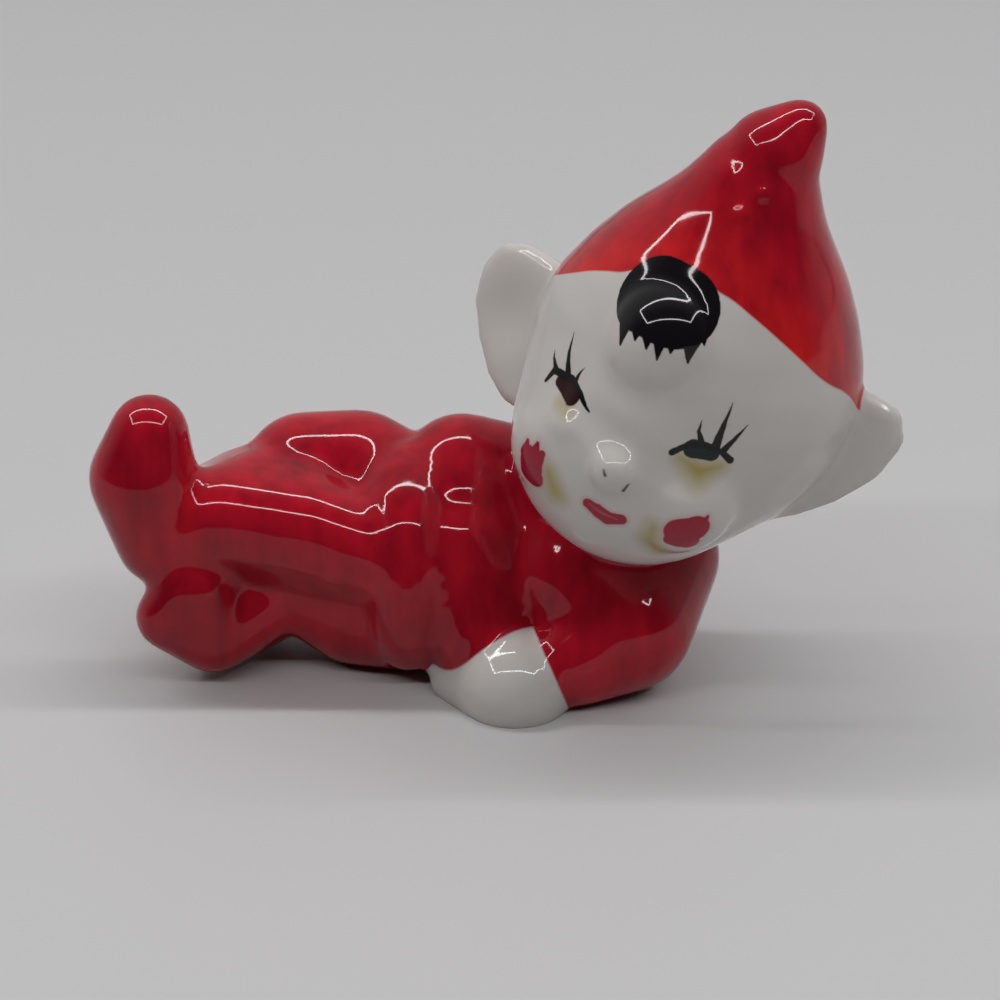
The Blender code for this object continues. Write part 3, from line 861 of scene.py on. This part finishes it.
# %% Curl
CURL_TOP = ((-10.8, 24.8), (-1.8, 24.2))
CURL_HALF_WIDTH = 3.4
LOCK_POINT = 0.1
LOCKS = (((-14.0, 16), (-12.0, 7.1), 0.9), ((-9.0, 15), (-8.0, 10.2), 0.9),
         ((-5.5, 15), (-3.9, 9.4), 0.8), ((-1.5, 15), (0.1, 7.8), 0.7),
         ((2.0, 15), (2.9, 11.0), 0.7), ((6.5, 19), (8.5, 10.5), 1.0),
         ((7.5, 22), (11.1, 17.3), 0.8))

curl = row(CURL_TOP, (CURL_HALF_WIDTH, CURL_HALF_WIDTH))
for root, point, half_width in LOCKS:
    curl += row((root, point), (half_width, LOCK_POINT))
curl_cover = brush(curl)
print("locks of hair:", len(LOCKS))

# %% [markdown]
# ## One colour over another
# The marks on the clay say where the head, the ears and the hands are. Just above the brim, a
# lighter, warmer red is mixed into the hat's red and streaked like the glaze: a painted
# reflection of the lamps. Then the colours are laid over each other: those of the head come
# first, then the suit's red around the head, and the white hands last.

# %% Coats of colour
MARK_EDGE = 0.12               # millimetres over which a marked colour sets in
RED_PAINTED_REFLECTION = "#da2a20"           # lighter, warmer red: a painted reflection of the lamps
PAINTED_REFLECTION_BAND = 22.0               # degrees up from the brim, where the painted reflection has faded out
PAINTED_REFLECTION_SHARE = 0.8

marked = {}
for name in ("on_head", "on_ears", "on_hands"):
    inside = add_node(tree, "ShaderNodeAttribute", attribute_name=name).outputs["Fac"]
    marked[name] = add_node(tree, "ShaderNodeMapRange", {
        "Value": inside, "From Min": -MARK_EDGE, "From Max": MARK_EDGE}).outputs["Result"]
# Painted reflection: the lamps' blurred reflection above the brim is painted as a warmer red,
# strongest at the brim and streaked like the glaze.
near_brim = add_node(tree, "ShaderNodeMapRange", {
    "Value": past_brim, "From Min": PAINTED_REFLECTION_BAND, "From Max": 0.0}).outputs["Result"]
reflection_share = add_node(tree, "ShaderNodeMath", {
    0: thin, 1: PAINTED_REFLECTION_SHARE}, operation="MULTIPLY").outputs[0]
reflection_share = add_node(tree, "ShaderNodeMath", {
    0: near_brim, 1: reflection_share}, operation="MULTIPLY").outputs[0]
red_with_reflection = add_node(tree, "ShaderNodeMix", {
    SHARE: reflection_share, FIRST: red, SECOND: linear(RED_PAINTED_REFLECTION)}, data_type="RGBA").outputs[MIXED]

colour = skin
for cover, over in ((above_brim, red_with_reflection), (curl_cover, linear(BLACK)),
                    (marked["on_ears"], linear(WHITE))):
    colour = add_node(tree, "ShaderNodeMix", {
        SHARE: cover, FIRST: colour, SECOND: over}, data_type="RGBA").outputs[MIXED]
colour = add_node(tree, "ShaderNodeMix", {
    SHARE: marked["on_head"], FIRST: red, SECOND: colour}, data_type="RGBA").outputs[MIXED]
colour = add_node(tree, "ShaderNodeMix", {
    SHARE: marked["on_hands"], FIRST: colour, SECOND: linear(WHITE)},
    data_type="RGBA").outputs[MIXED]
print("marked:", sorted(marked))

# %% [markdown]
# ## Clear glaze over all
# Glaze is a thin coat of glass, so it is very smooth, with the index of glass.
# Its skin is never quite flat, though. A faint swell, about a hundredth of a
# millimetre high, makes the reflected lamps waver as they do on real pottery.
# How strongly it mirrors was matched to the photograph.

# %% Glaze
GLAZE_ROUGHNESS = 0.06
GLAZE_INDEX = 1.5
GLAZE_MIRROR = 0.34            # the plain value is 0.5, which made the reflections too bright
SWELL = 3.2                    # length of one swell
SWELL_HEIGHT = 0.012

swell = add_node(tree, "ShaderNodeTexNoise", {
    "Vector": place, "Scale": 1 / (SWELL * MM), "Detail": 1.0}).outputs["Fac"]
wavy = add_node(tree, "ShaderNodeBump", {
    "Height": swell, "Strength": 1.0, "Distance": SWELL_HEIGHT * MM}).outputs["Normal"]
shader = add_node(tree, "ShaderNodeBsdfPrincipled", {
    "Base Color": colour, "Roughness": GLAZE_ROUGHNESS, "IOR": GLAZE_INDEX,
    "Specular IOR Level": GLAZE_MIRROR, "Normal": wavy})
add_node(tree, "ShaderNodeOutputMaterial", {"Surface": shader.outputs["BSDF"]})
figurine.data.materials.clear()
figurine.data.materials.append(china)
print("nodes in the glaze:", len(tree.nodes))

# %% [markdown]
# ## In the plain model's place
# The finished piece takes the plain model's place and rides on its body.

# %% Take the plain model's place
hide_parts("elf_figurine")
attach(figurine, "root")
